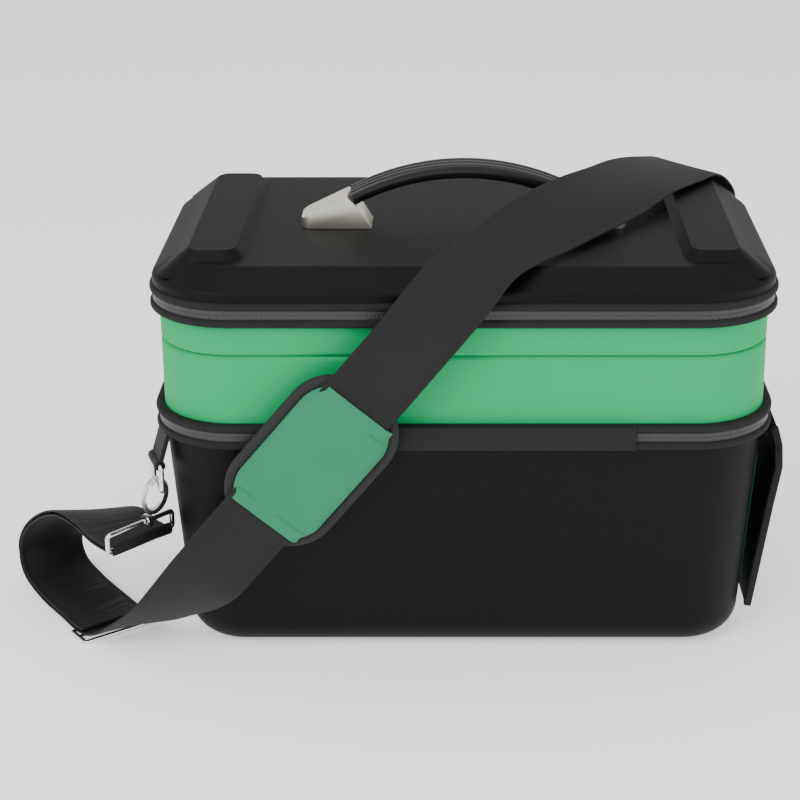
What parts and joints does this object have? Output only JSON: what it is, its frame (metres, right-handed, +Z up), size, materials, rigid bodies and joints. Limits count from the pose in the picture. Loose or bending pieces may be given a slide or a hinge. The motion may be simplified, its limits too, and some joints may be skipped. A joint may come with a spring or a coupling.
{
  "type": "instrument carrying case",
  "caption": "Moulded hard-shell instrument case with two zipped compartments, a bowed carrying handle and a padded shoulder strap on snap hooks.",
  "frame": {"origin": "on the floor under the middle of the case, at the centre of the lower tray's flat bottom", "axes": "+X to the right of somebody facing the front, +Y to the back, +Z up"},
  "size_m": [0.5448, 0.2821, 0.3145],
  "materials": {
    "black_shell": "satin knit fabric laminated on moulded foam",
    "green_shell": "smooth coated fabric laminated on moulded foam",
    "binding": "woven binding tape",
    "zip_tape": "coil zip on woven tape",
    "lining": "brushed lining",
    "webbing": "ribbed woven webbing",
    "pad_green": "plain woven nylon",
    "pad_grey": "woven binding tape",
    "flap_green": "plain woven nylon",
    "grip_rubber": "satin rubber",
    "cap_metal": "champagne satin",
    "nickel": "polished nickel",
    "dark_metal": "black enamel",
    "steel": "plain steel"
  },
  "bodies": {
    "base": {"lower_shell": "black_shell", "lower_lining": "lining", "lower_binding_bottom": "binding", "lower_zip_tape_bottom": "zip_tape", "front_hinge_leaf_lower": "binding", "ring_tab_left": "webbing", "ring_tab_right": "webbing", "side_pocket": "flap_green", "strap_webbing_right": "webbing", "strap_webbing_front": "webbing", "strap_adjuster": "nickel"},
    "middle": {"deep_shell": "green_shell", "upper_tray_shell": "green_shell", "deep_lining": "lining", "upper_tray_lining": "lining", "divider_rivets": "steel", "lower_binding_top": "binding", "lower_zip_tape_top": "zip_tape", "front_hinge_leaf_upper": "binding", "upper_binding_bottom": "binding", "upper_zip_tape_bottom": "zip_tape", "rear_hinge_leaf_lower": "binding"},
    "lid": {"lid_shell": "black_shell", "lid_lining": "lining", "upper_binding_top": "binding", "upper_zip_tape_top": "zip_tape", "rear_hinge_leaf_upper": "binding", "handle_grip": "grip_rubber", "handle_core": "steel", "handle_cap_left": "cap_metal", "handle_cap_right": "cap_metal", "handle_plates": "steel", "handle_screws": "steel", "strap_webbing_lid": "webbing"},
    "pad": {"shoulder_pad": "pad_green", "pad_binding": "pad_grey", "pad_sleeve": "pad_green"},
    "flap": {"side_flap": "black_shell", "side_flap_binding": "binding"},
    "upper_left_slider": {"upper_left_slider": "dark_metal"},
    "upper_left_pull": {"upper_left_pull": "dark_metal"},
    "upper_right_slider": {"upper_right_slider": "dark_metal"},
    "upper_right_pull": {"upper_right_pull": "dark_metal"},
    "lower_left_slider": {"lower_left_slider": "dark_metal"},
    "lower_left_pull": {"lower_left_pull": "dark_metal"},
    "lower_right_slider": {"lower_right_slider": "dark_metal"},
    "lower_right_pull": {"lower_right_pull": "dark_metal"},
    "d_ring_left": {"d_ring_left": "nickel"},
    "hook_left": {"snap_hook_left": "nickel"},
    "gate_left": {"hook_gate_left": "nickel"},
    "swivel_left": {"swivel_eye_left": "nickel", "strap_ring_left": "nickel"},
    "d_ring_right": {"d_ring_right": "nickel"},
    "hook_right": {"snap_hook_right": "nickel"},
    "gate_right": {"hook_gate_right": "nickel"},
    "swivel_right": {"swivel_eye_right": "nickel", "strap_ring_right": "nickel"}
  },
  "joints": [
    {"name": "middle_hinge", "type": "hinge", "parent": "base", "child": "middle", "pos_m": [0, -0.1294, 0.16125], "axis": [1, 0, 0], "range_deg": [0, 92], "deforming": ["strap_webbing_right", "strap_webbing_lid", "strap_webbing_front", "shoulder_pad", "pad_binding", "pad_sleeve"]},
    {"name": "lid_hinge", "type": "hinge", "parent": "middle", "child": "lid", "pos_m": [0, 0.1294, 0.24425], "axis": [-1, 0, 0], "range_deg": [0, 100]},
    {"name": "pad_slide", "type": "slide", "parent": "base", "child": "pad", "axis": [-0.644, 0, -0.765], "range_m": [-0.012, 0.02]},
    {"name": "flap_hinge", "type": "hinge", "parent": "base", "child": "flap", "pos_m": [0.207, -0.025, 0.1505], "axis": [0, -1, 0], "range_deg": [0, 100]},
    {"name": "upper_left_slider_travel", "type": "slide", "parent": "middle", "child": "upper_left_slider", "axis": [-1, 0, 0], "range_m": [0, 0.106]},
    {"name": "upper_left_pull_swing", "type": "hinge", "parent": "upper_left_slider", "child": "upper_left_pull", "pos_m": [-0.034, -0.133, 0.24425], "axis": [-1, 0, 0], "range_deg": [0, 150]},
    {"name": "upper_right_slider_travel", "type": "slide", "parent": "middle", "child": "upper_right_slider", "axis": [1, 0, 0], "range_m": [0, 0.154]},
    {"name": "upper_right_pull_swing", "type": "hinge", "parent": "upper_right_slider", "child": "upper_right_pull", "pos_m": [-0.014, -0.133, 0.24425], "axis": [-1, 0, 0], "range_deg": [0, 150]},
    {"name": "lower_left_slider_travel", "type": "slide", "parent": "base", "child": "lower_left_slider", "axis": [-1, 0, 0], "range_m": [0, 0.13]},
    {"name": "lower_left_pull_swing", "type": "hinge", "parent": "lower_left_slider", "child": "lower_left_pull", "pos_m": [-0.01, 0.133, 0.16125], "axis": [1, 0, 0], "range_deg": [0, 150]},
    {"name": "lower_right_slider_travel", "type": "slide", "parent": "base", "child": "lower_right_slider", "axis": [1, 0, 0], "range_m": [0, 0.13]},
    {"name": "lower_right_pull_swing", "type": "hinge", "parent": "lower_right_slider", "child": "lower_right_pull", "pos_m": [0.01, 0.133, 0.16125], "axis": [1, 0, 0], "range_deg": [0, 150]},
    {"name": "d_ring_left_swing", "type": "hinge", "parent": "base", "child": "d_ring_left", "pos_m": [-0.20444, -0.09218, 0.131], "axis": [-0.342, 0.9397, 0], "range_deg": [0, 60]},
    {"name": "hook_left_swing", "type": "hinge", "parent": "d_ring_left", "child": "hook_left", "pos_m": [-0.20444, -0.09218, 0.1136], "axis": [-0.342, 0.9397, 0], "range_deg": [0, 40]},
    {"name": "gate_left_press", "type": "hinge", "parent": "hook_left", "child": "gate_left", "pos_m": [-0.2145, -0.09584, 0.1037], "axis": [-0.342, 0.9397, 0], "range_deg": [0, 18], "stiffness_Nm_per_rad": 0.002},
    {"name": "swivel_left_turn", "type": "hinge", "parent": "hook_left", "child": "swivel_left", "pos_m": [-0.21264, -0.09516, 0.08826], "axis": [-0.3059, -0.1114, -0.9455], "range_deg": [-25, 25]},
    {"name": "d_ring_right_swing", "type": "hinge", "parent": "base", "child": "d_ring_right", "pos_m": [0.20444, 0.09218, 0.131], "axis": [0.342, -0.9397, 0], "range_deg": [0, 60]},
    {"name": "hook_right_swing", "type": "hinge", "parent": "d_ring_right", "child": "hook_right", "pos_m": [0.20444, 0.09218, 0.1136], "axis": [0.342, -0.9397, 0], "range_deg": [0, 40]},
    {"name": "gate_right_press", "type": "hinge", "parent": "hook_right", "child": "gate_right", "pos_m": [0.2145, 0.09584, 0.1037], "axis": [0.342, -0.9397, 0], "range_deg": [0, 18], "stiffness_Nm_per_rad": 0.002},
    {"name": "swivel_right_turn", "type": "hinge", "parent": "hook_right", "child": "swivel_right", "pos_m": [0.21264, 0.09516, 0.08826], "axis": [0.3059, 0.1114, -0.9455], "range_deg": [-10, 25]}
  ]
}
